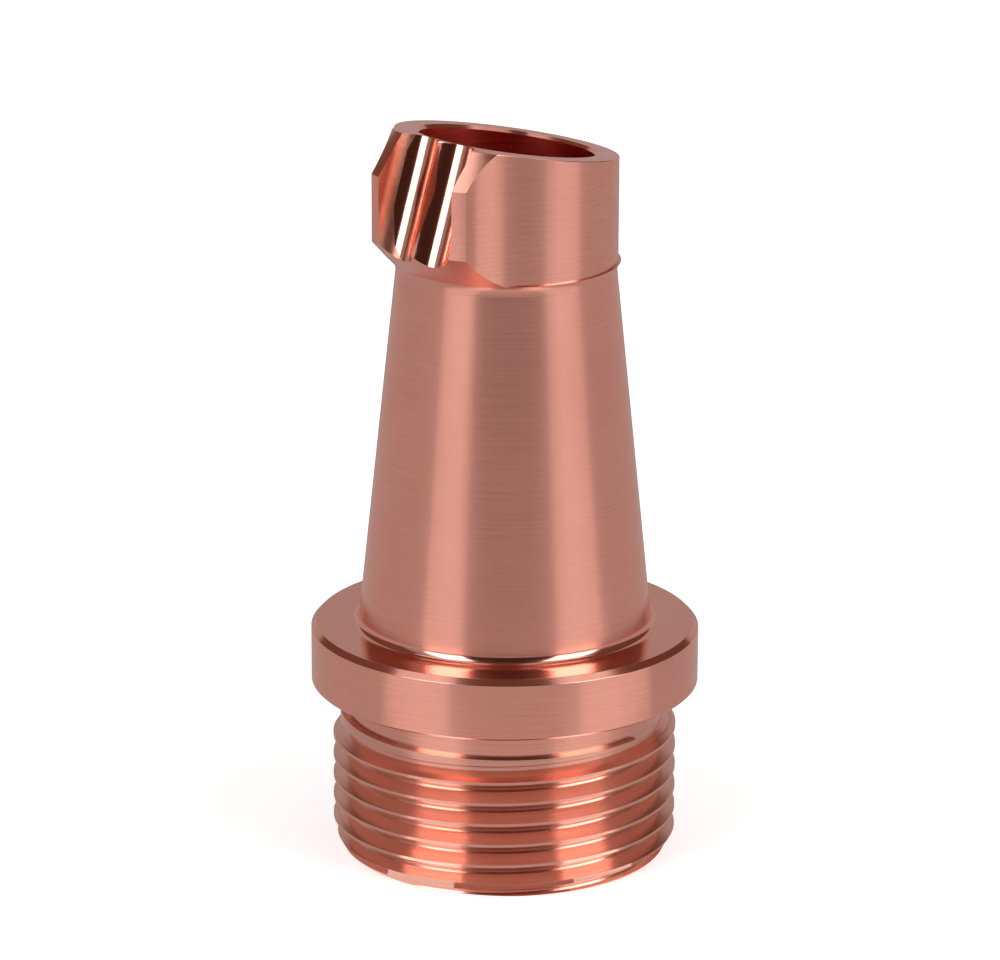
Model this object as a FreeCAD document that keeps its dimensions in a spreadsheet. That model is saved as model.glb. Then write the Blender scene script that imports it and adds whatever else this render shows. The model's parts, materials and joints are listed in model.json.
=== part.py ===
import FreeCAD, Part
import math
import os
import Sketcher

# Laser welding nozzle, turned and milled from one copper bar.
# Millimetres, +Z from the threaded end to the tip. The origin is the centre of the threaded end face,
# and the boss with the two wire grooves faces -Y.

doc = FreeCAD.newDocument("laser_nozzle")

# Driving sizes: alias, value, meaning
DRIVING_SIZES = (
    ("thread_diameter", 16.0, "major diameter of the fastening thread, 1 mm pitch"),
    ("thread_length", 6.05, "from the end face to the end of the full thread"),
    ("thread_lead", 0.5, "lead chamfer at the end face, on the radius"),
    ("thread_lead_length", 0.9, "lead chamfer at the end face, along the axis"),
    ("runout_diameter", 15.32, "land above the full thread, where the thread runs out"),
    ("runout_length", 0.6, "land above the full thread"),
    ("relief_diameter", 14.8, "undercut between the land and the flange"),
    ("relief_length", 1.4, "undercut between the land and the flange"),
    ("flange_diameter", 18.0, "stop flange"),
    ("flange_thickness", 2.87, "stop flange"),
    ("flange_top_chamfer", 0.25, "upper edge of the flange"),
    ("flange_seat_chamfer", 0.1, "lower edge of the flange"),
    ("cone_foot_diameter", 13.6, "body cone where it meets the flange"),
    ("foot_fillet", 0.65, "between the flange and the cone"),
    ("cone_length", 17.05, "from the flange to the neck"),
    ("neck_diameter", 10.06, "small end of the body cone"),
    ("neck_fillet", 0.7, "between the cone and the flare"),
    ("flare_angle", 44.5, "flare under the boss, from the axis"),
    ("boss_diameter", 13.36, "turned outside of the boss"),
    ("boss_face_length", 3.12, "straight part of the boss, along the axis"),
    ("boss_width", 5.6, "between the two milled sides"),
    ("slope_angle", 40.5, "top slope of the boss, from the axis"),
    ("head_diameter", 10.2, "milled round of the head beside the boss"),
    ("head_floor", 0.2, "from the neck to the floor of the milled round"),
    ("cutter_diameter", 8.0, "end mill that leaves the hollow beside the boss"),
    ("tip_length", 5.69, "from the neck to the tip face, on the axis"),
    ("tip_tilt", 9.5, "tip face out of square with the axis"),
    ("tip_turn", 12.3, "high side of the tip face, sideways from the boss"),
    ("bore_diameter", 8.0, "beam passage at the tip"),
    ("bore_length", 5.0, "straight bore behind the tip face, on the axis"),
    ("mouth_chamfer", 0.15, "inner edge of the tip face"),
    ("throat_diameter", 10.8, "large end of the tapered passage"),
    ("socket_diameter", 12.4, "rear socket inside the thread"),
    ("socket_depth", 7.6, "rear socket"),
    ("socket_lead", 0.4, "lead chamfer of the socket"),
    ("socket_angle", 60.0, "shoulder at the end of the socket, from the axis"),
    ("groove_diameter", 2.24, "round bottom of each wire groove"),
    ("groove_spacing", 2.08, "between the two wire grooves"),
    ("groove_angle", 20.8, "wire grooves to the axis, closing towards the tip"),
    ("groove_wall", 0.25, "between groove bottom and bore at the height of the tip"),
)

sheet = doc.addObject("Spreadsheet::Sheet", "sizes")
for row, (alias, value, meaning) in enumerate(DRIVING_SIZES, start=1):
    sheet.set(f"A{row}", meaning)
    sheet.set(f"B{row}", str(value))
    sheet.setAlias(f"B{row}", alias)
doc.recompute()

# Radii and heights that follow from the driving sizes, as expressions of the sheet
thread_radius = "sizes.thread_diameter / 2"
runout_radius = "sizes.runout_diameter / 2"
relief_radius = "sizes.relief_diameter / 2"
flange_radius = "sizes.flange_diameter / 2"
foot_radius = "sizes.cone_foot_diameter / 2"
neck_radius = "sizes.neck_diameter / 2"
boss_radius = "sizes.boss_diameter / 2"
head_radius = "sizes.head_diameter / 2"
bore_radius = "sizes.bore_diameter / 2"
throat_radius = "sizes.throat_diameter / 2"
socket_radius = "sizes.socket_diameter / 2"
groove_radius = "sizes.groove_diameter / 2"
cutter_radius = "sizes.cutter_diameter / 2"
boss_side = "sizes.boss_width / 2"
half_spacing = "sizes.groove_spacing / 2"
runout_height = "(sizes.thread_length + sizes.runout_length)"
seat_height = f"({runout_height} + sizes.relief_length)"
flange_height = f"({seat_height} + sizes.flange_thickness)"
neck_height = f"({flange_height} + sizes.cone_length)"
floor_height = f"({neck_height} + sizes.head_floor)"
boss_low = f"({neck_height} + ({boss_radius} - {neck_radius}) / tan(sizes.flare_angle))"
boss_high = f"({boss_low} + sizes.boss_face_length)"
slope_end = f"({boss_high} + ({boss_radius} - {head_radius}) / tan(sizes.slope_angle))"
tip_height = f"({neck_height} + sizes.tip_length)"
tip_high_side = f"({tip_height} + {boss_radius} * tan(sizes.tip_tilt))"
stock_margin = "1"
stock_height = f"(max({slope_end}; {tip_high_side}) + {stock_margin})"
stock_reach = f"({flange_radius} + {stock_margin})"
shoulder_end = f"(sizes.socket_depth + ({socket_radius} - {throat_radius}) / tan(sizes.socket_angle))"
land_height = f"({tip_height} - sizes.bore_length)"
groove_centre = f"({bore_radius} + sizes.groove_wall + {groove_radius} / cos(sizes.groove_angle))"

# Names for the points and axes that a sketch knows by number
start, end, centre = range(1, 4)
horizontal_axis, vertical_axis = range(-1, -3, -1)
sketch_origin = (-1, 1)

# Closeness, in mm, at which two sizes count as the same
tolerance = 0.001


def number(expression):
    """Value of an expression of the sheet, as a plain number."""
    return float(sheet.evalExpression(expression))


def origin_plane(body, role):
    """Origin plane of the body, such as XY_Plane."""
    return next(plane for plane in body.Origin.OriginFeatures if plane.Role == role)


def new_sketch(body, name, role):
    """Sketch on one of the body's own origin planes."""
    sketch = body.newObject("Sketcher::SketchObject", name)
    sketch.AttachmentSupport = [(origin_plane(body, role), "")]
    sketch.MapMode = "FlatFace"
    return sketch


def bind(sketch, constraint, expression):
    """Adds a dimension and ties it to the sheet."""
    index = sketch.addConstraint(constraint)
    sketch.setExpression(f"Constraints[{index}]", expression)


def pin(sketch, line, point, across, up):
    """Ties one end of a line to its two coordinates; a coordinate of 0 lies on the axis."""
    for kind, expression, axis in (("DistanceX", across, vertical_axis), ("DistanceY", up, horizontal_axis)):
        if expression == "0":
            sketch.addConstraint(Sketcher.Constraint("PointOnObject", line, point, axis))
        else:
            bind(sketch, Sketcher.Constraint(kind, line, point, number(expression)), expression)


def closed_outline(sketch, corners):
    """Closed chain of straight lines through corners given as pairs of expressions."""
    places = [FreeCAD.Vector(number(across), number(up), 0) for across, up in corners]
    for index, place in enumerate(places):
        following = places[(index + 1) % len(places)]
        sketch.addGeometry(Part.LineSegment(place, following), False)
    for index, (across, up) in enumerate(corners):
        line_before = (index - 1) % len(corners)
        sketch.addConstraint(Sketcher.Constraint("Coincident", line_before, end, index, start))
        pin(sketch, index, start, across, up)


def ring_edge(feature, radius, height):
    """Name of the full circle round the axis with this radius and height."""
    for index, edge in enumerate(feature.Shape.Edges, start=1):
        curve = edge.Curve
        if not isinstance(curve, Part.Circle):
            continue
        same_radius = abs(curve.Radius - number(radius)) < tolerance
        if same_radius and abs(curve.Center.z - number(height)) < tolerance:
            return f"Edge{index}"
    raise ValueError(f"no ring of radius {number(radius)} at height {number(height)}")


def mouth_edge(feature):
    """Name of the edge where the bore leaves through the tip face."""
    for index, edge in enumerate(feature.Shape.Edges, start=1):
        curve = edge.Curve
        if not isinstance(curve, (Part.Ellipse, Part.Circle)):
            continue
        narrow = curve.MinorRadius if isinstance(curve, Part.Ellipse) else curve.Radius
        off_axis = math.hypot(curve.Center.x, curve.Center.y)
        above_land = curve.Center.z > number(land_height) + tolerance
        if abs(narrow - number(bore_radius)) < tolerance and off_axis < tolerance and above_land:
            return f"Edge{index}"
    raise ValueError("the bore doesn't reach the tip face")


def fillet(body, name, base, edge, size):
    """Rounds one edge of the feature before it."""
    feature = body.newObject("PartDesign::Fillet", name)
    feature.Base = (base, [edge])
    feature.setExpression("Radius", size)
    doc.recompute()
    return feature


def cut_feature(body, kind, name, sketch, **settings):
    """Pocket or groove that has to take material away."""
    before = body.Shape.Volume
    feature = body.newObject(kind, name)
    feature.Profile = sketch
    for key, value in settings.items():
        setattr(feature, key, value)
    doc.recompute()
    if not feature.Shape.Volume < before:
        raise ValueError(f"{name} takes nothing away")
    return feature


def turn_blank(body):
    """Lathe work outside: thread cylinder, land, undercut, flange, cone, flare, boss ring and slope."""
    sketch = new_sketch(body, "turned_outline", "XZ_Plane")
    closed_outline(sketch, (
        ("0", "0"),
        (f"{thread_radius} - sizes.thread_lead", "0"),
        (thread_radius, "sizes.thread_lead_length"),
        (thread_radius, "sizes.thread_length"),
        (runout_radius, "sizes.thread_length"),
        (runout_radius, runout_height),
        (relief_radius, runout_height),
        (relief_radius, seat_height),
        (f"{flange_radius} - sizes.flange_seat_chamfer", seat_height),
        (flange_radius, f"{seat_height} + sizes.flange_seat_chamfer"),
        (flange_radius, f"{flange_height} - sizes.flange_top_chamfer"),
        (f"{flange_radius} - sizes.flange_top_chamfer", flange_height),
        (foot_radius, flange_height),
        (neck_radius, neck_height),
        (boss_radius, boss_low),
        (boss_radius, boss_high),
        (head_radius, slope_end),
        (head_radius, stock_height),
        ("0", stock_height),
    ))
    doc.recompute()
    blank = body.newObject("PartDesign::Revolution", "turned_blank")
    blank.Profile = sketch
    blank.ReferenceAxis = (sketch, ["V_Axis"])
    blank.Angle = 360
    doc.recompute()
    foot_edge = ring_edge(blank, foot_radius, flange_height)
    footed = fillet(body, "foot_round", blank, foot_edge, "sizes.foot_fillet")
    neck_edge = ring_edge(footed, neck_radius, neck_height)
    fillet(body, "neck_round", footed, neck_edge, "sizes.neck_fillet")


def mill_head(body):
    """Takes the boss ring down to the head's round, except for the boss, from the floor upwards."""
    sketch = new_sketch(body, "head_outline", "XY_Plane")
    sketch.setExpression("AttachmentOffset.Base.z", floor_height)
    half, head = number(boss_side), number(head_radius)
    cutter, reach = number(cutter_radius), number(stock_reach)
    cutter_x = half + cutter
    cutter_y = -math.sqrt((head + cutter) ** 2 - cutter_x ** 2)
    touch = FreeCAD.Vector(cutter_x, cutter_y, 0) * (head / (head + cutter))
    up = FreeCAD.Vector(0, 0, 1)
    right_turn = math.atan2(touch.y - cutter_y, touch.x - cutter_x)
    head_turn = math.atan2(touch.y, touch.x)
    right_circle = Part.Circle(FreeCAD.Vector(cutter_x, cutter_y, 0), up, cutter)
    left_circle = Part.Circle(FreeCAD.Vector(-cutter_x, cutter_y, 0), up, cutter)
    corners = [FreeCAD.Vector(x, y, 0) for x, y in (
        (half, -reach), (reach, -reach), (reach, reach), (-reach, reach), (-reach, -reach), (-half, -reach))]
    right_wall, right_hollow, head_round, left_hollow, left_wall, first_side = range(6)
    sketch.addGeometry([
        Part.LineSegment(corners[0], FreeCAD.Vector(half, cutter_y, 0)),
        Part.ArcOfCircle(right_circle, right_turn, math.pi),
        Part.ArcOfCircle(Part.Circle(FreeCAD.Vector(), up, head), head_turn, math.pi - head_turn),
        Part.ArcOfCircle(left_circle, 0, math.pi - right_turn),
        Part.LineSegment(FreeCAD.Vector(-half, cutter_y, 0), corners[5]),
    ] + [Part.LineSegment(corners[5 - side], corners[4 - side]) for side in range(5)], False)
    last_side = first_side + 4
    for first, first_end, second, second_end in (
            (right_wall, end, right_hollow, end), (right_hollow, start, head_round, start),
            (head_round, end, left_hollow, end), (left_hollow, start, left_wall, start)):
        sketch.addConstraint(Sketcher.Constraint("Tangent", first, first_end, second, second_end))
    sketch.addConstraint(Sketcher.Constraint("Coincident", left_wall, end, first_side, start))
    for side in range(first_side, last_side):
        sketch.addConstraint(Sketcher.Constraint("Coincident", side, end, side + 1, start))
    sketch.addConstraint(Sketcher.Constraint("Coincident", last_side, end, right_wall, start))
    sketch.addConstraint(Sketcher.Constraint("Coincident", head_round, centre, *sketch_origin))
    sketch.addConstraint(Sketcher.Constraint("Vertical", right_wall))
    sketch.addConstraint(Sketcher.Constraint("Vertical", left_wall))
    bind(sketch, Sketcher.Constraint("Radius", head_round, head), head_radius)
    for hollow in (right_hollow, left_hollow):
        bind(sketch, Sketcher.Constraint("Radius", hollow, cutter), cutter_radius)
    pin(sketch, right_wall, start, boss_side, f"-{stock_reach}")
    pin(sketch, left_wall, end, f"-{boss_side}", f"-{stock_reach}")
    for side, (across, up_to) in enumerate((
            (f"-{stock_reach}", f"-{stock_reach}"), (f"-{stock_reach}", stock_reach),
            (stock_reach, stock_reach), (stock_reach, f"-{stock_reach}")), start=first_side + 1):
        pin(sketch, side, start, across, up_to)
    doc.recompute()
    cut_feature(body, "PartDesign::Pocket", "head_milling", sketch, Type="ThroughAll", Reversed=True)


def cut_tip(body):
    """Tip face, out of square, on a vertical plane through its high side."""
    sketch = new_sketch(body, "tip_outline", "YZ_Plane")
    upright = FreeCAD.Vector(0, -1, 0)
    sketch.AttachmentOffset = FreeCAD.Placement(
        FreeCAD.Vector(), FreeCAD.Rotation(upright, number("sizes.tip_turn")))
    sketch.setExpression("AttachmentOffset.Rotation.Angle", "sizes.tip_turn")
    closed_outline(sketch, (
        (f"-{stock_reach}", f"{tip_height} + {stock_reach} * tan(sizes.tip_tilt)"),
        (stock_reach, f"{tip_height} - {stock_reach} * tan(sizes.tip_tilt)"),
        (stock_reach, f"{stock_height} + {stock_reach}"),
        (f"-{stock_reach}", f"{stock_height} + {stock_reach}"),
    ))
    doc.recompute()
    cut_feature(body, "PartDesign::Pocket", "tip_face", sketch, Type="ThroughAll", Midplane=True)


def bore_passage(body):
    """Rear socket, its shoulder, the tapered passage and the straight bore, with the chamfer at the mouth."""
    sketch = new_sketch(body, "passage_outline", "XZ_Plane")
    closed_outline(sketch, (
        ("0", "0"),
        (f"{socket_radius} + sizes.socket_lead", "0"),
        (socket_radius, "sizes.socket_lead"),
        (socket_radius, "sizes.socket_depth"),
        (throat_radius, shoulder_end),
        (bore_radius, land_height),
        (bore_radius, stock_height),
        ("0", stock_height),
    ))
    doc.recompute()
    round_axis = (sketch, ["V_Axis"])
    passage = cut_feature(body, "PartDesign::Groove", "passage", sketch, ReferenceAxis=round_axis, Angle=360)
    chamfer = body.newObject("PartDesign::Chamfer", "mouth_break")
    chamfer.Base = (passage, [mouth_edge(passage)])
    chamfer.setExpression("Size", "sizes.mouth_chamfer")
    doc.recompute()


def mill_wire_grooves(body):
    """Two round-bottomed grooves side by side down the boss, with a sharp ridge between them."""
    sketch = new_sketch(body, "groove_outline", "XY_Plane")
    leaning = FreeCAD.Vector(-1, 0, 0)
    sketch.AttachmentOffset = FreeCAD.Placement(
        FreeCAD.Vector(0, -number(groove_centre), number(tip_height)),
        FreeCAD.Rotation(leaning, number("sizes.groove_angle")))
    sketch.setExpression("AttachmentOffset.Base.y", f"-{groove_centre}")
    sketch.setExpression("AttachmentOffset.Base.z", tip_height)
    sketch.setExpression("AttachmentOffset.Rotation.Angle", "sizes.groove_angle")
    radius, offset, reach = number(groove_radius), number(half_spacing), number(stock_reach)
    ridge = math.acos(offset / radius)
    outer = offset + radius
    up = FreeCAD.Vector(0, 0, 1)
    left_centre, right_centre = FreeCAD.Vector(-offset, 0, 0), FreeCAD.Vector(offset, 0, 0)
    left_groove, right_groove, right_wall, mouth, left_wall = range(5)
    sketch.addGeometry([
        Part.ArcOfCircle(Part.Circle(left_centre, up, radius), ridge, math.pi),
        Part.ArcOfCircle(Part.Circle(right_centre, up, radius), 0, math.pi - ridge),
        Part.LineSegment(FreeCAD.Vector(outer, 0, 0), FreeCAD.Vector(outer, -reach, 0)),
        Part.LineSegment(FreeCAD.Vector(outer, -reach, 0), FreeCAD.Vector(-outer, -reach, 0)),
        Part.LineSegment(FreeCAD.Vector(-outer, -reach, 0), FreeCAD.Vector(-outer, 0, 0)),
    ], False)
    sketch.addConstraint(Sketcher.Constraint("Coincident", left_groove, start, right_groove, end))
    sketch.addConstraint(Sketcher.Constraint("Tangent", right_groove, start, right_wall, start))
    sketch.addConstraint(Sketcher.Constraint("Coincident", right_wall, end, mouth, start))
    sketch.addConstraint(Sketcher.Constraint("Coincident", mouth, end, left_wall, start))
    sketch.addConstraint(Sketcher.Constraint("Tangent", left_wall, end, left_groove, end))
    sketch.addConstraint(Sketcher.Constraint("PointOnObject", left_groove, centre, horizontal_axis))
    sketch.addConstraint(Sketcher.Constraint("PointOnObject", right_groove, centre, horizontal_axis))
    sketch.addConstraint(Sketcher.Constraint("Vertical", right_wall))
    sketch.addConstraint(Sketcher.Constraint("Vertical", left_wall))
    sketch.addConstraint(Sketcher.Constraint("Horizontal", mouth))
    for arc in (left_groove, right_groove):
        bind(sketch, Sketcher.Constraint("Radius", arc, radius), groove_radius)
    bind(sketch, Sketcher.Constraint("DistanceX", left_groove, centre, -offset), f"-{half_spacing}")
    bind(sketch, Sketcher.Constraint("DistanceX", right_groove, centre, offset), half_spacing)
    bind(sketch, Sketcher.Constraint("DistanceY", right_wall, end, -reach), f"-{stock_reach}")
    doc.recompute()
    cut_feature(body, "PartDesign::Pocket", "wire_grooves", sketch, Type="ThroughAll", Midplane=True)


nozzle = doc.addObject("PartDesign::Body", "nozzle_body")
nozzle.Label = "nozzle_body"
turn_blank(nozzle)
mill_head(nozzle)
cut_tip(nozzle)
bore_passage(nozzle)
mill_wire_grooves(nozzle)
doc.recompute()

for item in doc.Objects:
    if "Invalid" in item.State or "Error" in item.State:
        raise RuntimeError(f"{item.Label} failed: {item.State}")
if nozzle.Shape.isNull() or not nozzle.Shape.isValid() or len(nozzle.Shape.Solids) != 1:
    raise RuntimeError("the nozzle is not one valid solid")

os.makedirs("parts", exist_ok=True)
nozzle.Shape.exportStep(os.path.join("parts", f"{nozzle.Label}.step"))
box = nozzle.Shape.BoundBox
print(f"{nozzle.Label}: {box.XLength:.3f} x {box.YLength:.3f} x {box.ZLength:.3f} mm, "
      f"{nozzle.Shape.Volume:.2f} mm3, {len(nozzle.Shape.Faces)} faces")
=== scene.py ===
import json
import math

import bmesh
import bpy
import numpy as np
from mathutils import Matrix, Vector
from mathutils.geometry import tessellate_polygon


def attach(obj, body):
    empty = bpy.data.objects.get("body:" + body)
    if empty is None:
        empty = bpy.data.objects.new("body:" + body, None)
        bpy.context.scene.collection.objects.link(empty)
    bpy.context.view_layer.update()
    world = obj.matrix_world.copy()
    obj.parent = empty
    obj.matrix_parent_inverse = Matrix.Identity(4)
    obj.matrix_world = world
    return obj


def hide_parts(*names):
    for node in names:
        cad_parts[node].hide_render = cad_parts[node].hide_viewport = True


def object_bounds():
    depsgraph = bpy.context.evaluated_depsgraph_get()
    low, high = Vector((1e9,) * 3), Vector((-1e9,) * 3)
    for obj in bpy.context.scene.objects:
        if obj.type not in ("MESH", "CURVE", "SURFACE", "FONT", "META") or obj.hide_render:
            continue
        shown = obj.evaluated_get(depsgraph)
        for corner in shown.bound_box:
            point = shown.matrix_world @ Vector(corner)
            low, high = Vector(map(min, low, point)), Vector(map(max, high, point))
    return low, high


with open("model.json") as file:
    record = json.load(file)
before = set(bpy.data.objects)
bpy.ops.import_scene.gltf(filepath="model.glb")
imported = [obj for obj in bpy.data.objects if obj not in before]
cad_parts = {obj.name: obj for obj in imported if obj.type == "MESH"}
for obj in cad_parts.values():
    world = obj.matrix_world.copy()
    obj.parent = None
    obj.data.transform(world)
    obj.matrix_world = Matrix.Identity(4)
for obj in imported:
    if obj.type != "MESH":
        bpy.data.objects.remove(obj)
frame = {"record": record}
cadLow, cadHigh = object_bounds()
mounts = {mount["name"]: mount for mount in frame["record"]["mounts"]}
mm = 0.001

# Laser welding nozzle of bare copper: threaded end down, tip up, wire grooves towards -Y.
# Sizes are millimetres, heights count from the threaded end face, "side" is the angle from -Y towards +X.
print("nozzle: sizes")

thread = {
    "radius": mounts["thread"]["dims"]["r_mm"],
    "pitch": 1.0,
    "crestFlat": 0.13,
    "rootRadius": 7.39,
    "rootDepth": 0.05, "rootFade": 0.1,         # the root narrows to a V this deep, which fades at its ends
    "flankSlope": math.tan(math.radians(60)),   # rise on the radius for each mm along the axis
    "crestHeight": 4.518,                       # a crest's height at the side of the grooves
    "ridges": (-5, 2),                          # first and last ridge, counted from that crest
    "leadRadius": 7.5, "leadLength": 0.9,       # chamfer at the end face
    "landRadius": 7.66, "landStart": 6.05, "landEnd": 6.65,
    "lastSide": 93.9, "endTaper": 1.4,          # degrees: where the last ridge is cut off
}
body = {
    "reliefRadius": 7.4, "reliefCorner": 0.12,
    "landCorner": 0.24, "landBreak": 0.04,      # polished foot of the undercut above the thread's land
    "seatHeight": mounts["seat"]["pos_m"][2] / mm,
    "flangeRadius": cadHigh.x / mm, "flangeTop": 10.92,
    "seatChamfer": 0.1, "topChamfer": 0.25,     # lower and upper edge of the flange
    "footRadius": 6.8, "footFillet": 0.42,
    "neckRadius": 5.03, "neckHeight": 27.97, "neckFillet": 0.7,
    "edgeBreak": 0.03, "sharpAngle": 24,        # degrees past which an edge is shaded sharp
}
head = {
    "floor": 28.17, "radius": 5.1,
    "bossRadius": 6.68, "bossHalfWidth": 2.8, "bossFace": 3.12,    # bossFace: height of its straight front
    "flareAngle": 44.5, "slopeAngle": 40.5, "cutterRadius": 4.0,
    "tipHeight": 33.66, "tipTilt": 9.5, "tipTurn": -12.3,          # height on the axis, tilt, side of the rise
    "edgeBreak": 0.025,
    # points of the mesh on one half of the section, from the ridge between the grooves round to the back
    "columns": {"centre": 6, "groove": 28, "wall": 3, "front": 10, "side": 1, "hollow": 14, "round": 110},
    # points of the mesh up the head; lastRow is one more, which keeps the slope flat when shaded, and wallShare
    # is the part of the way up to the tip that the rows beside the groove walls may take
    "rows": {"foot": 6, "runOut": 14, "flare": 3, "boss": 9, "slope": 7},
    "lastRow": 0.985, "wallShare": 0.6,
}
groove = {"radius": 1.12, "offset": 1.04, "angle": 20.8, "wall": 0.25}    # wall: copper left beside the bore
passage = {
    "boreRadius": 4.0, "mouthChamfer": 0.15, "boreEnd": 28.66,
    "throatRadius": 5.4, "throatHeight": 8.06,
    "socketRadius": 6.2, "socketDepth": 7.6, "socketLead": 0.4,
    "rimGap": 0.02,                             # the mouth's chamfer stays this far inside the grooves
    "straight": 2.0,                            # level rows start this far above the end of the bore
    "columns": 240, "rowStep": 1.5, "tipRows": 4,
}


# Outline through (radius, height, rounding) corners. Each corner with a rounding becomes an arc: its centre
# lies on the bisector, rounding / sin(half angle) from the corner, and the arc starts rounding / tan(half
# angle) along each side. A point just outside each end of the arc keeps the straight sides flat when
# shaded.
def roundCorners(corners, support=0.01, arcStep=11):
    places = np.array([corner[:2] for corner in corners], float)
    outline = [places[:1]]
    for before, place, after, rounding in zip(places, places[1:], places[2:], [c[2] for c in corners[1:-1]]):
        if not rounding:
            outline.append(place[None])
            continue
        back = (before - place) / np.linalg.norm(before - place)
        ahead = (after - place) / np.linalg.norm(after - place)
        half = math.acos(back @ ahead) / 2
        reach = rounding / math.tan(half)
        centre = place + (back + ahead) / np.linalg.norm(back + ahead) * rounding / math.sin(half)
        first, last = (place + way * reach - centre for way in (back, ahead))
        angle = math.atan2(first[1], first[0])
        turn = (math.atan2(last[1], last[0]) - angle + math.pi) % (2 * math.pi) - math.pi
        angles = angle + turn * np.linspace(0, 1, 2 + math.ceil(abs(math.degrees(turn)) / arcStep))
        arc = centre + rounding * np.stack([np.cos(angles), np.sin(angles)], 1)
        outline += [(place + back * (reach + support))[None], arc, (place + ahead * (reach + support))[None]]
    return np.concatenate(outline + [places[-1:]])


# Value between low and high where the test stops being true, by halving the span again and again. Works on
# whole arrays.
def crossing(below, low, high, halvings=46):
    low, high = np.broadcast_arrays(np.asarray(low, float), np.asarray(high, float))
    for _ in range(halvings):
        middle = (low + high) / 2
        still = below(middle)
        low, high = np.where(still, middle, low), np.where(still, high, middle)
    return (low + high) / 2


# The turned outside from the undercut to the slope above the boss
flare = math.tan(math.radians(head["flareAngle"]))
slope = math.tan(math.radians(head["slopeAngle"]))
bossLow = body["neckHeight"] + (head["bossRadius"] - body["neckRadius"]) / flare
bossHigh = bossLow + head["bossFace"]
slopeTop = bossHigh + (head["bossRadius"] - head["radius"]) / slope
turned = roundCorners([
    (thread["landRadius"], thread["landEnd"], 0),
    (body["reliefRadius"], thread["landEnd"] + body["landCorner"], body["landBreak"]),
    (body["reliefRadius"], body["seatHeight"], body["reliefCorner"]),
    (body["flangeRadius"] - body["seatChamfer"], body["seatHeight"], body["edgeBreak"]),
    (body["flangeRadius"], body["seatHeight"] + body["seatChamfer"], body["edgeBreak"]),
    (body["flangeRadius"], body["flangeTop"] - body["topChamfer"], body["edgeBreak"]),
    (body["flangeRadius"] - body["topChamfer"], body["flangeTop"], body["edgeBreak"]),
    (body["footRadius"], body["flangeTop"], body["footFillet"]),
    (body["neckRadius"], body["neckHeight"], body["neckFillet"]),
    (head["bossRadius"], bossLow, 0),
    (head["bossRadius"], bossHigh, 0),
    (head["radius"], slopeTop, 0),
])
upper = turned[turned[:, 1] > (body["flangeTop"] + body["neckHeight"]) / 2]


# Radius of the turned blank at a height of the head: straight between the outline's points.
def turnedRadius(height):
    return np.interp(height, upper[:, 1], upper[:, 0])


# Height of the tip face: the height on the axis plus tan(tilt) times the distance towards the high side.
def tipPlane(x, y):
    turn = math.radians(head["tipTurn"])
    towards = x * math.sin(turn) - y * math.cos(turn)
    return head["tipHeight"] + math.tan(math.radians(head["tipTilt"])) * towards


# Wire grooves: a leaning round bottom, whose level section is an ellipse that moves inwards with height
lean = math.tan(math.radians(groove["angle"]))
grooveDepth = groove["radius"] / math.cos(math.radians(groove["angle"]))
grooveCentre = passage["boreRadius"] + groove["wall"] + grooveDepth
ridgeAngle = math.acos(-groove["offset"] / groove["radius"])


# y of the groove's centre line at a height: it leans towards the axis.
def grooveRow(height):
    return -grooveCentre + (height - head["tipHeight"]) * lean


# Level section of the right groove: centre + (radius cos angle, depth sin angle).
def groovePoint(angle, height):
    x = groove["offset"] + groove["radius"] * np.cos(angle)
    y = grooveRow(height) + grooveDepth * np.sin(angle)
    return x, y


# Distance of a groove point from the axis.
def grooveDistance(angle, height):
    return np.hypot(*groovePoint(angle, height))


# Angle of the groove point nearest to the axis: where the distance stops falling.
def grooveNearest(height):
    def falling(angle):
        x, y = groovePoint(angle, height)
        return grooveDepth * np.cos(angle) * y - groove["radius"] * np.sin(angle) * x < 0
    return crossing(falling, np.full_like(height, math.pi / 2), ridgeAngle)


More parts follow.
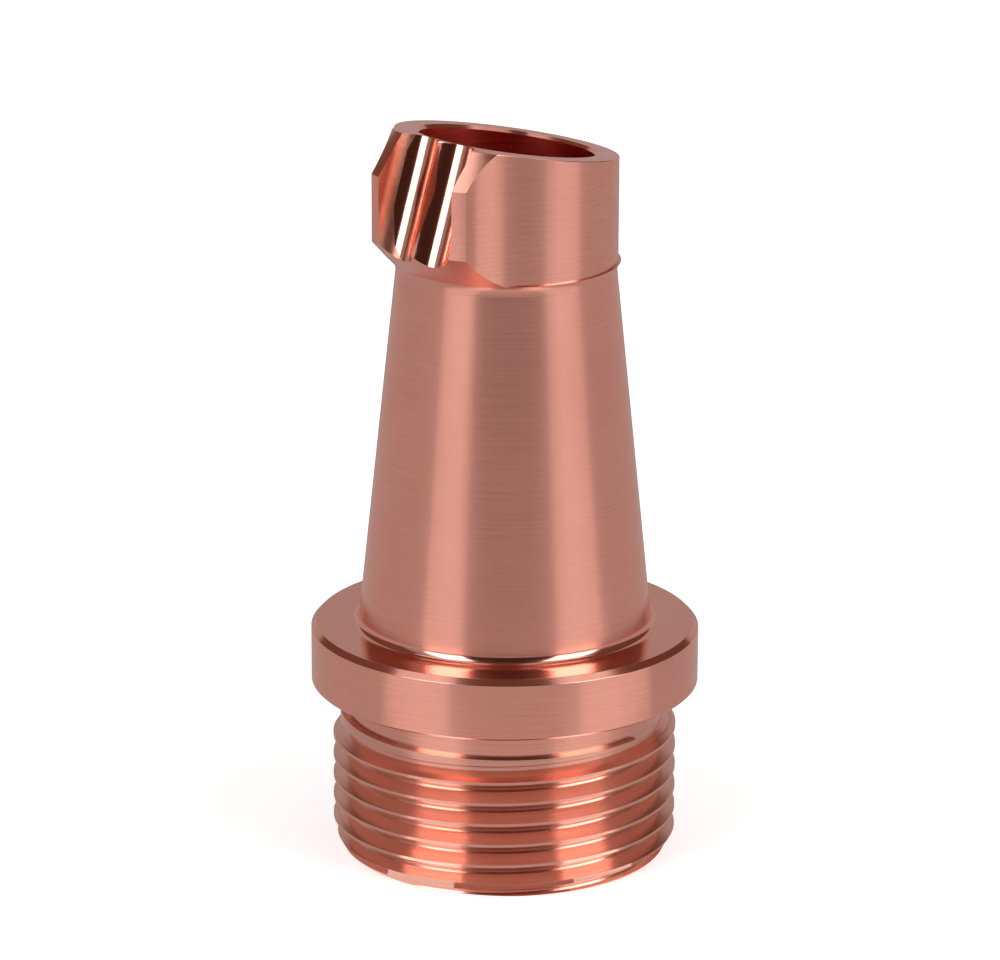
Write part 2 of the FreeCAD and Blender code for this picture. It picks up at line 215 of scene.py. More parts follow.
# Right half of the head's level section at each height, as one point per column, from the ridge between the
# grooves round to the back: the turned circle inside the milled outline, less the groove.
def headSection(height, columns):
    radius = turnedRadius(height)
    nearest = grooveNearest(height)
    outerAngle = crossing(lambda angle: grooveDistance(angle, height) > radius, 0 * height, nearest)
    innerAngle = crossing(lambda angle: grooveDistance(angle, height) <= radius, nearest, ridgeAngle)

    def onGroove(angle):
        x, y = groovePoint(angle, height)
        back = np.minimum(1, radius / np.hypot(x, y))   # below the groove its points lie on the circle
        return x * back, y * back

    def onCircle(side, distance):
        return distance * np.sin(side), -distance * np.cos(side)

    innerX, innerY = onGroove(innerAngle)
    outerX, outerY = onGroove(outerAngle)
    wallY = np.minimum(outerY, -np.sqrt(radius ** 2 - outerX ** 2))
    wallSide = np.arctan2(outerX, -wallY)

    # the end mill's hollow beside the boss: a circle that touches the head's round
    cutter, half, roundRadius = head["cutterRadius"], head["bossHalfWidth"], head["radius"]
    far = roundRadius + cutter
    cutterX = half + cutter
    cutterY = -math.sqrt(far ** 2 - cutterX ** 2)
    wholeRadius = math.hypot(half, cutterY)
    limited = np.minimum(radius, wholeRadius)
    along = (limited ** 2 - cutter ** 2 + far ** 2) / (2 * far)
    across = np.sqrt(np.maximum(limited ** 2 - along ** 2, 0))
    meetX = (along * cutterX + across * cutterY) / far
    meetY = (along * cutterY - across * cutterX) / far
    hollowStart = np.arctan2(meetY - cutterY, meetX - cutterX) % (2 * math.pi)
    hollowEnd = math.atan2(-cutterY, -cutterX)
    sideX = np.where(radius > wholeRadius, half, meetX)
    sideY = np.where(radius > wholeRadius, -np.sqrt(np.maximum(radius ** 2 - half ** 2, 0)), meetY)
    sideAngle = np.arctan2(sideX, -sideY)
    touchSide = math.atan2(cutterX, -cutterY)

    x, y = np.empty_like(height), np.empty_like(height)
    start = 0
    for name, count in columns.items():
        last = start + count + (name == "round")
        piece = np.s_[..., start:last]
        t = np.linspace(0, 1, last - start, endpoint=name == "round")
        if name == "centre":
            x[piece], y[piece] = onCircle(
                np.arctan2(innerX, -innerY)[piece] * t, np.hypot(innerX, innerY)[piece])
        elif name == "groove":
            angle = innerAngle[piece] + (outerAngle - innerAngle)[piece] * t
            arcX = groove["offset"] + groove["radius"] * np.cos(angle)
            arcY = grooveRow(height[piece]) + grooveDepth * np.sin(angle)
            back = np.minimum(1, radius[piece] / np.hypot(arcX, arcY))
            x[piece], y[piece] = arcX * back, arcY * back
        elif name == "wall":
            x[piece], y[piece] = outerX[piece], outerY[piece] + (wallY - outerY)[piece] * t
        elif name == "front":
            x[piece], y[piece] = onCircle(wallSide[piece] + (sideAngle - wallSide)[piece] * t, radius[piece])
        elif name == "side":
            x[piece], y[piece] = sideX[piece], sideY[piece]
        elif name == "hollow":
            angle = hollowStart[piece] + (hollowEnd - hollowStart[piece]) * t
            x[piece], y[piece] = cutterX + cutter * np.cos(angle), cutterY + cutter * np.sin(angle)
        else:
            x[piece], y[piece] = onCircle(touchSide + (math.pi - touchSide) * t, roundRadius)
        start = last
    return x, y


# Both halves of the section: the left half first, mirrored and reversed. Heights have one value per column.
def wholeSection(heights):
    columns = head["columns"]
    middle = sum(columns.values())
    rightX, rightY = headSection(heights[..., middle:], columns)
    leftX, leftY = headSection(heights[..., middle::-1], columns)
    return (np.concatenate([-leftX[..., :0:-1], rightX], -1),
            np.concatenate([leftY[..., :0:-1], rightY], -1))


# The head from its floor to the tip face: rows at the heights where its edges start or end, and above the
# boss face rows that share out the way up to the tip plane.
def headGrid():
    count = 2 * sum(head["columns"].values()) + 1
    rows = head["rows"]
    apex = float(crossing(
        lambda z: grooveDistance(grooveNearest(z), z) > turnedRadius(z), head["floor"], bossLow))
    ridge = float(crossing(lambda z: grooveDistance(ridgeAngle, z) > turnedRadius(z), head["floor"], bossLow))
    corner = groove["offset"] + groove["radius"]
    wallLow = float(crossing(
        lambda z: -grooveRow(z) > np.sqrt(turnedRadius(z) ** 2 - corner ** 2), bossLow, bossHigh))
    wallHigh = float(crossing(
        lambda z: -grooveRow(z) < np.sqrt(turnedRadius(z) ** 2 - corner ** 2), bossHigh, slopeTop))
    bend = upper[(upper[:, 1] > head["floor"]) & (upper[:, 1] < apex), 1]
    fixed = np.unique(np.concatenate([
        np.linspace(head["floor"], apex, rows["foot"]), bend,
        apex + (ridge - apex) * np.linspace(0, 1, rows["runOut"]) ** 2,    # closer where the grooves run out
        np.linspace(ridge, bossLow, rows["flare"]),
        np.linspace(bossLow, wallLow, rows["boss"]), np.linspace(wallLow, bossHigh, rows["boss"])]))
    top = np.full(count, head["tipHeight"])
    for _ in range(14):                                         # each pass brings the rim nearer to the plane
        top = tipPlane(*wholeSection(top[None]))[0]
    middle = bossHigh + np.minimum(wallHigh - bossHigh, (top - bossHigh) * head["wallShare"])
    last = top - head["edgeBreak"]
    t = np.linspace(0, 1, rows["slope"])[1:, None]
    closing = np.append(t[:-1], [[head["lastRow"]], [1]], 0)
    heights = np.concatenate([
        np.repeat(fixed[:, None], count, 1),
        bossHigh + (middle - bossHigh) * t,
        middle + (last - middle) * closing])
    x, y = wholeSection(heights)
    rimX, rimY = wholeSection(top[None])
    inwards = 1 - head["edgeBreak"] / np.hypot(rimX, rimY)
    rimX, rimY = rimX * inwards, rimY * inwards
    return (np.concatenate([x, rimX]), np.concatenate([y, rimY]),
            np.concatenate([heights, tipPlane(rimX, rimY)]), int(np.searchsorted(fixed, apex)))


# Helical ridges: every row follows the helix crest height + pitch * turn. A ridge's outline has its corners
# where the two flanks leave the root, meet the blank (lead chamfer, full thread or land) and return to the
# root. Rows that would pass the end face or the undercut stay on it.
def threadGrid(side):
    t = thread
    turn = side / (2 * math.pi)
    halfCrest = t["crestFlat"] / 2
    halfRidge = halfCrest + (t["radius"] - t["rootRadius"]) / t["flankSlope"]
    landReach = halfCrest + (t["radius"] - t["landRadius"]) / t["flankSlope"]
    leadSlope = (t["radius"] - t["leadRadius"]) / t["leadLength"]
    heights, radii = [], []
    firstRidge, lastRidge = t["ridges"]
    for ridge in range(firstRidge, lastRidge + 1):
        crest = t["crestHeight"] + (ridge + turn) * t["pitch"]
        low, high = crest - halfCrest, crest + halfCrest
        flankStart, flankEnd = crest - halfRidge, crest + halfRidge
        lift = t["radius"] - t["leadRadius"]
        lowMeet = np.minimum(low, (t["flankSlope"] * low - lift) / (t["flankSlope"] - leadSlope))
        highMeet = np.maximum(high, (t["flankSlope"] * high + lift) / (t["flankSlope"] + leadSlope))
        first = np.maximum(flankStart, np.minimum(lowMeet, t["landStart"]))
        second = np.maximum(first, np.minimum(highMeet, t["landStart"]))
        landTop = np.maximum(crest + landReach, second)
        step = np.clip(t["landStart"], second, landTop)
        landLow = np.maximum(step, crest - landReach)
        rows = [crest - t["pitch"] / 2, flankStart, (flankStart + first) / 2, first,
                np.clip(t["leadLength"], first, second), second, step, step, landLow,
                np.maximum(landLow, landTop), (np.maximum(landLow, landTop) + flankEnd) / 2, flankEnd]
        present = 1.0
        if ridge == lastRidge:
            rows.append(crest + t["pitch"] / 2)
            present = np.clip((math.radians(t["lastSide"]) - side) / math.radians(t["endTaper"]), 0, 1)
        for index, row in enumerate(rows):
            z = np.clip(row, 0, t["landEnd"])
            flank = t["radius"] - t["flankSlope"] * np.maximum(np.abs(z - crest) - halfCrest, 0)
            onLand = (z > t["landStart"] + 1e-9) | (index > 6)      # rows past the step belong to the land
            full = np.minimum(t["radius"], t["leadRadius"] + leadSlope * z)
            blank = np.where(onLand, t["landRadius"], full)
            radius = np.maximum(t["rootRadius"], np.minimum(flank, blank))
            if index in (0, 12):                    # the middle of the root, below or above the ridge
                runsOut = ridge == lastRidge and index == 0
                deep = 0 if runsOut else t["rootDepth"]
                fade = np.clip(np.minimum(row, t["landEnd"] - row) / t["rootFade"], 0, 1)
                radius = t["rootRadius"] - deep * fade
            heights.append(z)
            radii.append(t["rootRadius"] + (radius - t["rootRadius"]) * present)
    return np.array(radii), np.array(heights)


# Thread, undercut, flange, cone and neck: the turned outline carried round the axis, with the thread's rows
# below it. The undercut's foot never stands out past the thread's last row, so the land ends in a flat shoulder.
def bodyGrid(side):
    radii, heights = threadGrid(side)
    lathe = turned[turned[:, 1] < head["floor"]]
    lathe = np.concatenate([lathe[1:], [[float(turnedRadius(head["floor"])), head["floor"]]]])
    outlineR = np.repeat(lathe[:, :1], len(side), 1)
    outlineZ = np.repeat(lathe[:, 1:], len(side), 1)
    beside = lathe[:, 1] < thread["landEnd"] + body["landCorner"] + body["landBreak"]
    limit = np.maximum(radii[-1], body["reliefRadius"])
    outlineR[beside] = np.minimum(outlineR[beside], limit)
    return np.concatenate([radii, outlineR]), np.concatenate([heights, outlineZ])


# Inside, from the mouth down to the end face: its outline carried round the axis, with the top rows on the
# tip plane. Where a groove comes close, the mouth's chamfer stops just inside it.
def passageGrid(rimSide, rimRadius):
    p = passage
    side = np.linspace(-math.pi, math.pi, p["columns"] + 1)
    down = roundCorners([
        (p["boreRadius"], p["boreEnd"] + p["straight"], 0), (p["boreRadius"], p["boreEnd"], 0),
        (p["throatRadius"], p["throatHeight"], 0), (p["socketRadius"], p["socketDepth"], 0),
        (p["socketRadius"], p["socketLead"], 0), (p["socketRadius"] + p["socketLead"], 0, 0)])
    fine = []
    for first, second in zip(down, down[1:]):
        steps = max(1, round(np.linalg.norm(second - first) / p["rowStep"]))
        fine.append(first + (second - first) * np.arange(steps)[:, None] / steps)
    down = np.concatenate(fine + [down[-1:]])
    near = np.interp(side, rimSide, rimRadius) - p["rimGap"]
    mouth = np.minimum(p["boreRadius"] + p["mouthChamfer"], near)
    x, y = np.sin(side), -np.cos(side)
    bore = np.full_like(side, p["boreRadius"])
    mouthZ = tipPlane(mouth * x, mouth * y)
    boreZ = tipPlane(bore * x, bore * y) - p["mouthChamfer"]
    shared = np.linspace(0, 1, p["tipRows"] + 1)[:-1, None]
    radii = np.concatenate([
        mouth[None], np.repeat(bore[None], p["tipRows"], 0), np.repeat(down[:, :1], len(side), 1)])
    heights = np.concatenate([
        mouthZ[None], boreZ + (down[0, 1] - boreZ) * shared, np.repeat(down[:, 1:], len(side), 1)])
    return radii * x, radii * y, heights


# Quads of a grid of points, numbered row by row from first, facing out where columns run anticlockwise and
# rows run up.
def gridFaces(rows, columns, first):
    corner = first + (np.arange(rows - 1)[:, None] * columns + np.arange(columns - 1)).ravel()
    return np.stack([corner, corner + 1, corner + columns + 1, corner + columns], 1)


# Triangles of a flat ring between two loops of point numbers.
def ringFaces(points, outer, inner, facesUp):
    loops = [[Vector((points[i, 0], points[i, 1], 0)) for i in loop] for loop in (outer, inner)]
    numbers = np.concatenate([outer, inner])
    faces = numbers[np.array(tessellate_polygon(loops))]
    a, b, c = (points[faces[:, i], :2] for i in range(3))
    ahead, aside = b - a, c - a
    up = ahead[:, 0] * aside[:, 1] - ahead[:, 1] * aside[:, 0] > 0
    return np.where((up == facesUp)[:, None], faces, faces[:, ::-1])


# One closed surface: the outside grid from the end face up to the rim, the inside grid from the mouth down,
# and the flat tip and end faces between them. Points that fall together are merged.
def nozzleMesh():
    headX, headY, headZ, grooveRows = headGrid()
    side = np.arctan2(headX[0], -headY[0])
    side[0], side[-1] = -math.pi, math.pi
    bodyR, bodyZ = bodyGrid(side)
    outside = np.stack([np.concatenate([bodyR * np.sin(side), headX]),
                        np.concatenate([-bodyR * np.cos(side), headY]),
                        np.concatenate([bodyZ, headZ])], -1)
    threadRows, bodyRows = len(threadGrid(side)[0]), len(bodyR)
    rows, columns = outside.shape[:2]
    middle = columns // 2
    frontReach = sum(count for name, count in head["columns"].items() if name in ("centre", "groove"))
    nearFront = np.s_[middle - frontReach:middle + frontReach + 1]
    rimRadius = np.hypot(headX[-1], headY[-1])
    rimSide = np.arctan2(headX[-1], -headY[-1])
    order = np.argsort(rimSide[nearFront])
    inside = np.stack(passageGrid(rimSide[nearFront][order], rimRadius[nearFront][order]), -1)
    insideRows, insideColumns = inside.shape[:2]
    points = np.concatenate([outside.reshape(-1, 3), inside.reshape(-1, 3)])

    outFaces = gridFaces(rows, columns, 0)
    inFaces = gridFaces(insideRows, insideColumns, rows * columns)
    rim = (rows - 1) * columns + np.arange(columns - 1)
    mouth = rows * columns + np.arange(insideColumns - 1)
    tip = ringFaces(points, rim, mouth, True)
    base = ringFaces(points, np.arange(columns - 1), mouth + (insideRows - 1) * insideColumns, False)

    # which tool left its marks where, as numbers of the finishes below; groove walls and bore also get painted
    # shade
    row, column = np.divmod(np.arange(len(outFaces)), columns - 1)
    away = np.abs(column + 0.5 - middle)
    height = points[outFaces].mean(1)[:, 2]
    counts = head["columns"]
    front = away < frontReach + counts["wall"] + counts["front"]
    betweenEdges = (away > counts["centre"]) & (away < frontReach + counts["wall"])
    inGroove = betweenEdges & (row >= bodyRows + grooveRows)
    wallScallopsAndShade = inGroove & (away > frontReach - counts["groove"] / 4)          # the outer quarter of the groove: scallop marks and painted shade
    shoulder = height < thread["landEnd"] + body["landCorner"] + body["landBreak"] / 2
    flangeFace = (height > body["flangeTop"] - body["topChamfer"] - body["edgeBreak"]) & (
        height < body["flangeTop"] + body["footFillet"])
    onHead = row >= bodyRows
    outFinish = np.select(
        [row < threadRows, ~onHead & (shoulder | flangeFace), ~onHead, wallScallopsAndShade, inGroove, front],
        [finishes.index(name) for name in ("thread", "polished", "turned", "scallopsAndShade", "groove", "turned")],
        finishes.index("milled"))
    # the mouth's chamfer is polished; below it the bore finish, whose deep red colour is painted shade
    inFinish = np.where(np.arange(len(inFaces)) < insideColumns - 1,
                        finishes.index("polished"), finishes.index("bore"))
    finish = np.concatenate([outFinish, inFinish, np.full(len(tip) + len(base), finishes.index("face"))])

    mesh = bpy.data.meshes.new("nozzle")
    faces = [*outFaces.tolist(), *inFaces.tolist(), *tip.tolist(), *base.tolist()]
    mesh.from_pydata((points * mm).tolist(), [], faces)
    for name in finishes:
        mesh.materials.append(copperFinish(name))
    mesh.polygons.foreach_set("material_index", finish.astype(np.int32))
    work = bmesh.new()
    work.from_mesh(mesh)
    bmesh.ops.remove_doubles(work, verts=work.verts, dist=0.0002 * mm)
    bmesh.ops.dissolve_degenerate(work, dist=0.00002 * mm, edges=work.edges)
    work.to_mesh(mesh)
    work.free()
    mesh.polygons.foreach_set("use_smooth", np.ones(len(mesh.polygons), bool))
    mesh.set_sharp_from_angle(angle=math.radians(body["sharpAngle"]))
    return mesh


print("materials: copper finishes")

bareCopper = (0.96, 0.465, 0.37, 1)
copper = {
    "edge": (1.0, 0.96, 0.94, 1),
    "finishes": {
        # roughness, stretch of the highlight across the marks, depth of the marks in mm, marks for each mm,
        # share of dark in the marks (painted shade for their micro-shadows), share of stained colour, colour
        "turned": (0.23, 0.6, 0.0010, 11, 0.13, 0.06, bareCopper),
        "thread": (0.22, 0.6, 0.0012, 11, 0.24, 0.06, (0.88, 0.485, 0.39, 1)),
        "polished": (0.14, 0.4, 0.0006, 11, 0.10, 0.04, bareCopper),
        "milled": (0.24, 0.6, 0.0012, 8, 0.18, 0.06, bareCopper),
        "groove": (0.12, 0.2, 0.0020, 6, 0.20, 0.06, bareCopper),
        # groove's outer quarter: rough, deep scallop marks; its darker colour and dark share are painted shade
        # for the dark reflections there
        "scallopsAndShade": (0.36, 0.2, 0.0080, 6, 0.55, 0.06, (0.62, 0.29, 0.205, 1)),
        # bore: its deep red is painted shade, in place of the darkening and reddening of light bounced round
        # inside the copper
        "bore": (0.30, 0.3, 0.0006, 8, 0.12, 0.1, (0.74, 0.065, 0.045, 1)),
        "face": (0.24, 0.5, 0.0010, 9, 0.14, 0.04, bareCopper),
    },
    "stain": (0.60, 0.23, 0.16, 1),
    "broadMarks": 180, "clouds": 240,           # wide marks for each 1000 fine ones, stains for each metre
    # the part of the noise that makes streaks of painted shade, stains and changes of roughness
    "streakShadeSpan": (0.4, 0.62), "stainSpan": (0.35, 0.65), "roughSpan": (0.25, 0.75),
    "drift": 0.018,                             # how fast ring marks change from side to side
    "millSqueeze": 0.1, "grooveSqueeze": 0.12,  # how long strokes are: less is longer
    "roughSpread": 0.18,                        # share by which the marks change the roughness
}
finishes = list(copper["finishes"])


# New shader node. An input is a plain value, or a socket to link from.
def node(tree, kind, inputs=None, **settings):
    made = tree.nodes.new(kind)
    for name, value in settings.items():
        setattr(made, name, value)
    for name, value in (inputs or {}).items():
        if isinstance(value, bpy.types.NodeSocket):
            tree.links.new(value, made.inputs[name])
        else:
            made.inputs[name].default_value = value
    return made


# Places for marks that run round the axis: distance from the axis and height, with a slow change round it.
def ringPlaces(tree):
    place = node(tree, "ShaderNodeTexCoord").outputs["Object"]
    flat = node(tree, "ShaderNodeVectorMath", {0: place, 1: (1, 1, 0)}, operation="MULTIPLY").outputs[0]
    distance = node(tree, "ShaderNodeVectorMath", {0: flat}, operation="LENGTH").outputs["Value"]
    split = node(tree, "ShaderNodeSeparateXYZ", {0: place})
    drift = node(tree, "ShaderNodeMath", {
        0: split.outputs["X"], 1: copper["drift"]}, operation="MULTIPLY").outputs[0]
    return node(tree, "ShaderNodeCombineXYZ", {0: distance, 1: drift, 2: split.outputs["Z"]}).outputs[0]


# Places for strokes across a direction: the part along it stays whole, the rest is squeezed together.
def strokePlaces(tree, towards, squeeze):
    place = node(tree, "ShaderNodeTexCoord").outputs["Object"]
    along = node(tree, "ShaderNodeVectorMath", {
        0: place, 1: towards}, operation="DOT_PRODUCT").outputs["Value"]
    rest = node(tree, "ShaderNodeVectorMath", {0: place, 1: (squeeze,) * 3}, operation="MULTIPLY").outputs[0]
    line = node(tree, "ShaderNodeVectorMath", {0: towards}, operation="SCALE")
    tree.links.new(along, line.inputs["Scale"])
    return node(tree, "ShaderNodeVectorMath", {0: rest, 1: line.outputs[0]}, operation="ADD").outputs[0]


# A noise's value carried from a span of its own to the range from low to high, in a straight line
def mapped(tree, noise, span, low, high):
    return node(tree, "ShaderNodeMapRange", {
        "Value": noise.outputs["Fac"], "From Min": span[0], "From Max": span[1],
        "To Min": low, "To Max": high}).outputs["Result"]


# Bare copper with one kind of tool mark: fine rings, mill strokes or groove scallop marks. The marks bend the
# surface, change its roughness and darken its colour a little, painted shade for their micro-shadows; stains
# tint it.
def copperFinish(name):
    roughness, stretch, depth, perMm, dark, stain, base = copper["finishes"][name]
    material = bpy.data.materials.new("copper_" + name)
    material.use_nodes = True
    tree = material.node_tree
    tree.nodes.clear()
    if name == "milled":
        places = strokePlaces(tree, (0, 0, 1), copper["millSqueeze"])
    elif name in ("groove", "scallopsAndShade"):
        a = math.radians(groove["angle"])
        places = strokePlaces(tree, (0, math.sin(a), math.cos(a)), copper["grooveSqueeze"])
    else:
        places = ringPlaces(tree)
    fine = node(tree, "ShaderNodeTexNoise", {
        "Vector": places, "Scale": perMm * 1000, "Detail": 4, "Roughness": 0.7})
    broad = node(tree, "ShaderNodeTexNoise", {
        "Vector": places, "Scale": perMm * copper["broadMarks"], "Detail": 3, "Roughness": 0.6})
    cloud = node(tree, "ShaderNodeTexNoise", {
        "Vector": node(tree, "ShaderNodeTexCoord").outputs["Object"],
        "Scale": copper["clouds"], "Detail": 5, "Roughness": 0.6})
    marks = node(tree, "ShaderNodeMath", {0: fine.outputs["Fac"], 1: broad.outputs["Fac"]}, operation="ADD")
    bump = node(tree, "ShaderNodeBump", {"Height": marks.outputs[0], "Strength": 1.0, "Distance": depth * mm})
    # painted shade: the colour darkens along the fine marks in place of their micro-shadows
    streakShade = mapped(tree, fine, copper["streakShadeSpan"], 0.0, dark)
    tint = mapped(tree, cloud, copper["stainSpan"], 0.0, stain * 2)
    share = node(tree, "ShaderNodeMath", {0: streakShade, 1: tint}, operation="ADD")
    colour = node(tree, "ShaderNodeMix", {"Factor": share.outputs[0]}, data_type="RGBA")
    colour.inputs[6].default_value, colour.inputs[7].default_value = base, copper["stain"]    # colours A and B
    spread = copper["roughSpread"]
    rough = mapped(tree, fine, copper["roughSpan"], roughness * (1 - spread), roughness * (1 + spread))
    shader = node(tree, "ShaderNodeBsdfPrincipled", {
        "Base Color": colour.outputs[2], "Metallic": 1.0, "Roughness": rough,
        "Specular Tint": copper["edge"], "Anisotropic": stretch, "Anisotropic Rotation": 0.25,
        "Normal": bump.outputs[0],
        "Tangent": node(tree, "ShaderNodeTangent", direction_type="RADIAL", axis="Z").outputs[0]})
    node(tree, "ShaderNodeOutputMaterial", {"Surface": shader.outputs[0]})
    return material


print("nozzle: surface")
nozzle = bpy.data.objects.new("nozzle", nozzleMesh())
bpy.context.scene.collection.objects.link(nozzle)
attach(nozzle, "root")
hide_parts("nozzle_body")
print("nozzle:", len(nozzle.data.polygons), "faces")


print("stage: floor, lamps and camera")

stage = {
    # floorWhite is added where the floor is seen; lampLevel is the world as light, white as it is seen
    "floorReach": 3.0, "floorColour": (0.86, 0.86, 0.86, 1), "floorWhite": 0.45,
    "lampLevel": 0.5, "white": 1.0, "lampAim": 0.018,
    # lamps: side from the camera in degrees, elevation, distance, width, height, radiance
    "lamps": ((-47, 32, 0.6, 0.33, 0.52, 2.7), (57.5, 32, 0.6, 0.37, 0.52, 2.7)),
    # cards of the tent: first and last side, low and high elevation, radiance; the dark ones are warm
    "tentReach": 0.45, "tentRise": 0.04, "cardGrid": (13, 25),
    "cardColour": (1.0, 0.89, 0.87), "shadeColour": (1.0, 0.50, 0.34), "shadeBelow": 0.2,
    "cards": (
        (-32, 40, -2.3, 3, 0.40), (-32, 40, 3, 62, 0.045), (-50, 50, 62, 76, 0.14),
        (-104, -50, 62, 83, 0.75), (50, 104, 62, 83, 0.6), (-50, 50, 76, 83, 0.14), (-180, 180, 83, 90, 0.12),
        (-64, -32, -2.3, 10, 0.6), (40, 78, -2.3, 10, 0.6),
        (-130, -64, -2.3, 14, 0.46), (78, 130, -2.3, 14, 0.46),
        (-85, -64, 14, 50, 0.35), (-130, -85, 14, 50, 0.16), (78, 130, 14, 50, 0.14),
        (-104, -64, 50, 62, 0.85), (64, 104, 50, 62, 0.85),
        (-160, -104, 50, 76, 0.14), (104, 160, 50, 76, 0.14),
        (-160, -149, -2.3, 50, 0.46), (149, 160, -2.3, 50, 0.46),
        (-149, -130, -2.3, 14, 0.46), (130, 149, -2.3, 14, 0.46),
        (-149, -130, 14, 50, 0.16), (130, 149, 14, 50, 0.14),
        (160, 200, -2.3, 12, 0.44), (160, 200, 12, 76, 0.42), (104, 256, 76, 83, 0.30)),
    # rings of mats on the floor: inner and outer radius in mm, the sides between which the left and the right
    # lamp show in them, radiance there and between the lamps; from backStart to backEnd lies the back
    "matHeight": 0.3, "matSides": 0.46, "matBack": 0.36, "backStart": 160, "backEnd": 200,
    "rings": (
        (8.2, 12, -46, -18, 26, 53, 2.2, 0.56), (12, 15, -49, -20, 27, 58, 1.1, 0.56),
        (15, 22, -53, -21, 28, 62, 1.0, 0.56), (22, 28, -59, -27, 31, 72, 0.78, 0.56),
        (28, 60, -66, -29, 40, 84, 0.78, 0.50), (60, 130, -64, -31, 40, 79, 0.78, 0.42),
        (130, 450, -62, -36, 50, 80, 0.64, 0.42)),
    # painted bounce light and shadow close to the base: a ring of the same kind, reddish and dimmer,
    # in place of the copper's own glow on the floor and its contact shadow
    "glowColour": (1.0, 0.50, 0.40), "glowLit": (1.0, 0.95, 0.88), "glowHeight": 0.05, "glowSides": 0.45,
    "glow": (7.55, 8.2, -46, -18, 26, 53, 0.95, 0.40),
}
camera = {      # target, place, lens and sensor in mm, roll in degrees, clip in metres
    "target": (-0.191, -0.162, 17.621), "place": (146.50, -172.76, 86.23), "lens": 184.69, "roll": 0.234,
    "sensor": 36, "clip": (0.01, 10),
}


# Adds plain white to what the camera, glossy and transmission rays see of a surface or the world.
def lightPathWhite(tree, level):
    path = node(tree, "ShaderNodeLightPath")
    seen = node(tree, "ShaderNodeMath", {
        0: path.outputs["Is Camera Ray"], 1: path.outputs["Is Glossy Ray"]}, operation="ADD")
    seen = node(tree, "ShaderNodeMath", {
        0: seen.outputs[0], 1: path.outputs["Is Transmission Ray"]}, operation="ADD", use_clamp=True)
    return node(tree, "ShaderNodeMath", {0: seen.outputs[0], 1: level}, operation="MULTIPLY").outputs[0]


# Pale floor that keeps the shadow: lit by the lamps, with white added for the rays that show it.
def plainFloor():
    reach = stage["floorReach"]
    mesh = bpy.data.meshes.new("floor")
    mesh.from_pydata([(-reach, -reach, 0), (reach, -reach, 0), (reach, reach, 0), (-reach, reach, 0)], [],
                     [(0, 1, 2, 3)])
    material = bpy.data.materials.new("pale_floor")
    material.use_nodes = True
    tree = material.node_tree
    tree.nodes.clear()
    diffuse = node(tree, "ShaderNodeBsdfDiffuse", {"Color": stage["floorColour"]})
    white = node(tree, "ShaderNodeEmission", {"Strength": lightPathWhite(tree, stage["floorWhite"])})
    both = node(tree, "ShaderNodeAddShader", {0: diffuse.outputs[0], 1: white.outputs[0]})
    node(tree, "ShaderNodeOutputMaterial", {"Surface": both.outputs[0]})
    mesh.materials.append(material)
    floor = bpy.data.objects.new("floor", mesh)
    bpy.context.scene.collection.objects.link(floor)


# White surround for the rays that show it, and a plain lamp level for the rest.
def studioWorld():
    world = bpy.data.worlds.new("surround")
    world.use_nodes = True
    tree = world.node_tree
    tree.nodes.clear()
    seen = lightPathWhite(tree, stage["white"] - stage["lampLevel"])
    strength = node(tree, "ShaderNodeMath", {0: seen, 1: stage["lampLevel"]}, operation="ADD")
    back = node(tree, "ShaderNodeBackground", {"Color": (1, 1, 1, 1), "Strength": strength.outputs[0]})
    node(tree, "ShaderNodeOutputWorld", {"Surface": back.outputs[0]})
    bpy.context.scene.world = world


# Angle of the camera round the axis, from which the lamps' and cards' sides count
def cameraSide():
    return math.atan2(camera["place"][1], camera["place"][0])


# Direction from the part: side counts from the camera, anticlockwise seen from above.
def outwards(side, elevation):
    a = cameraSide() + math.radians(side)
    e = math.radians(elevation)
    return Vector((math.cos(a) * math.cos(e), math.sin(a) * math.cos(e), math.sin(e)))


# Upright soft boxes at both sides of the camera, which give the two bright bands.
def softLamps():
    middle = Vector((0, 0, stage["lampAim"]))
    for index, (side, elevation, distance, width, height, radiance) in enumerate(stage["lamps"]):
        lamp = bpy.data.lights.new(f"softbox_{index}", "AREA")
        lamp.shape, lamp.size, lamp.size_y = "RECTANGLE", width, height
        lamp.energy = radiance * math.pi * width * height
        holder = bpy.data.objects.new(lamp.name, lamp)
        way = outwards(side, elevation)
        holder.location = middle + way * distance
        holder.rotation_euler = way.to_track_quat("Z", "Y").to_euler()
        bpy.context.scene.collection.objects.link(holder)


# Even grey card that only reflections show. Its points are a grid of rows and columns.
def card(name, grid, radiance, colour):
    rows, columns = grid.shape[:2]
    mesh = bpy.data.meshes.new(name)
    mesh.from_pydata(grid.reshape(-1, 3).tolist(), [], gridFaces(rows, columns, 0).tolist())
    material = bpy.data.materials.new(name)
    material.use_nodes = True
    tree = material.node_tree
    tree.nodes.clear()
    grey = node(tree, "ShaderNodeEmission", {"Color": (*colour, 1), "Strength": radiance})
    node(tree, "ShaderNodeOutputMaterial", {"Surface": grey.outputs[0]})
    mesh.materials.append(material)
    made = bpy.data.objects.new(name, mesh)
    made.visible_camera = made.visible_shadow = made.visible_diffuse = False
    bpy.context.scene.collection.objects.link(made)


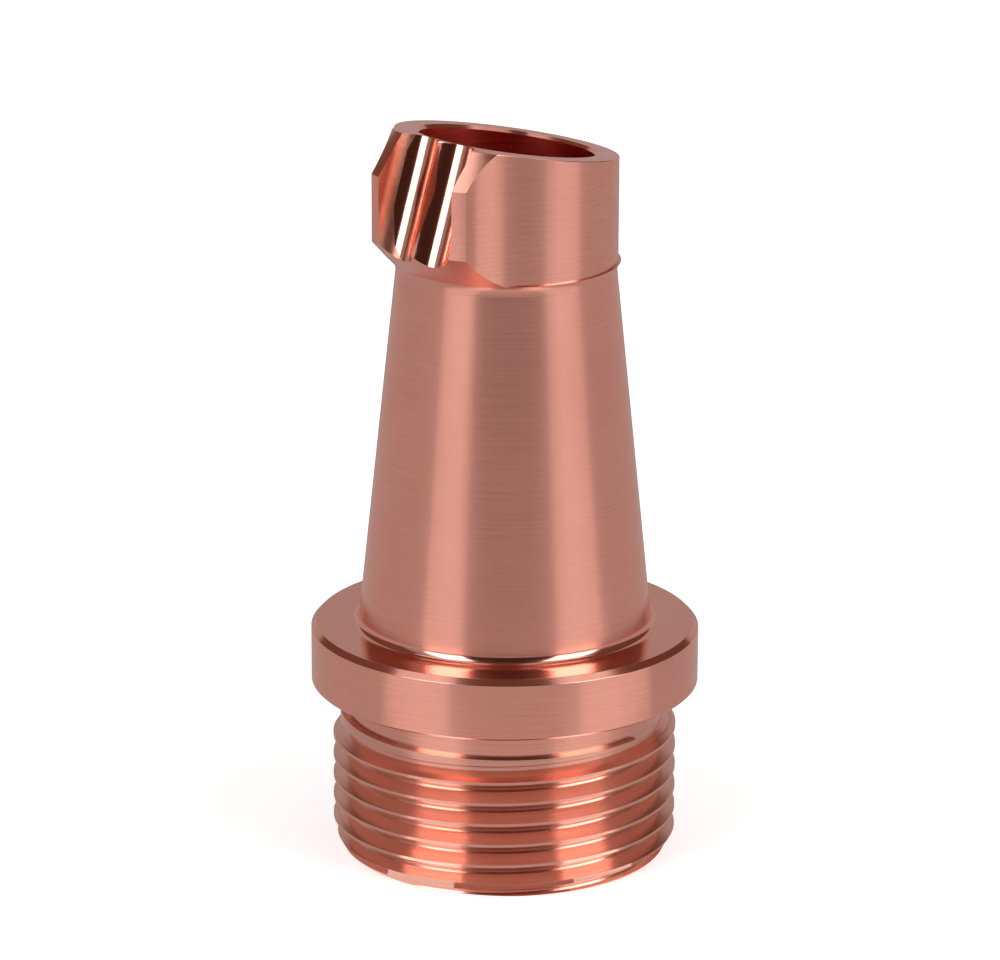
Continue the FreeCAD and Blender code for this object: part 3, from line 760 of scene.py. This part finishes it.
# Ring of mats on the floor, in stretches from side to side: distance times the cosine and sine of the side
def floorRing(name, ring, height, sides, back, colour, litColour):
    inner, outer, *lampSides, lit, between = ring
    edges = [-stage["backStart"], *lampSides, stage["backStart"], stage["backEnd"]]
    r = np.array([inner, outer])[:, None] * mm
    radiances = (sides, lit, between, lit, sides, back)
    colours = (colour, litColour, colour, litColour, colour, colour)
    for part, (first, last, radiance, shade) in enumerate(zip(edges, edges[1:], radiances, colours)):
        a = cameraSide() + np.radians(np.linspace(first, last, stage["cardGrid"][1]))
        flat = np.broadcast_arrays(r * np.cos(a), r * np.sin(a), height * mm)
        card(f"{name}_{part}", np.stack(flat, -1), radiance, shade)


# Grey tent round the set, which the polished copper reflects. Cards lie on a sphere: reach times the cosine
# and sine of side and elevation. Mats lie on the floor.
def shadeTent():
    reach = stage["tentReach"]
    rows, columns = stage["cardGrid"]
    for index, (first, last, low, high, radiance) in enumerate(stage["cards"]):
        a = cameraSide() + np.radians(np.linspace(first, last, columns))
        e = np.radians(np.linspace(low, high, rows))[:, None]
        colour = stage["shadeColour" if radiance < stage["shadeBelow"] else "cardColour"]
        sphere = np.broadcast_arrays(
            np.cos(a) * np.cos(e), np.sin(a) * np.cos(e), np.sin(e) + stage["tentRise"])
        card(f"card_{index}", reach * np.stack(sphere, -1), radiance, colour)
    for number, ring in enumerate(stage["rings"]):
        floorRing(f"mat_{number}", ring, stage["matHeight"], stage["matSides"], stage["matBack"],
                  stage["cardColour"], stage["cardColour"])
    # the ring of painted bounce light and contact shadow near the base
    floorRing(f"glow_{len(stage['rings'])}", stage["glow"], stage["glowHeight"], stage["glowSides"],
              stage["glowSides"], stage["glowColour"], stage["glowLit"])


# Camera at the photograph's viewing angle, with its long lens and slight roll.
def studioCamera():
    data = bpy.data.cameras.new("camera")
    data.lens, data.sensor_width = camera["lens"], camera["sensor"]
    data.clip_start, data.clip_end = camera["clip"]
    holder = bpy.data.objects.new("camera", data)
    place, target = Vector(camera["place"]) * mm, Vector(camera["target"]) * mm
    look = (target - place).to_track_quat("-Z", "Y").to_matrix()
    roll = Matrix.Rotation(math.radians(camera["roll"]), 3, "Z")
    holder.location, holder.rotation_euler = place, (look @ roll).to_euler()
    bpy.context.scene.collection.objects.link(holder)
    bpy.context.scene.camera = holder


plainFloor()
studioWorld()
softLamps()
shadeTent()
studioCamera()
bpy.context.scene.view_settings.view_transform = "Standard"
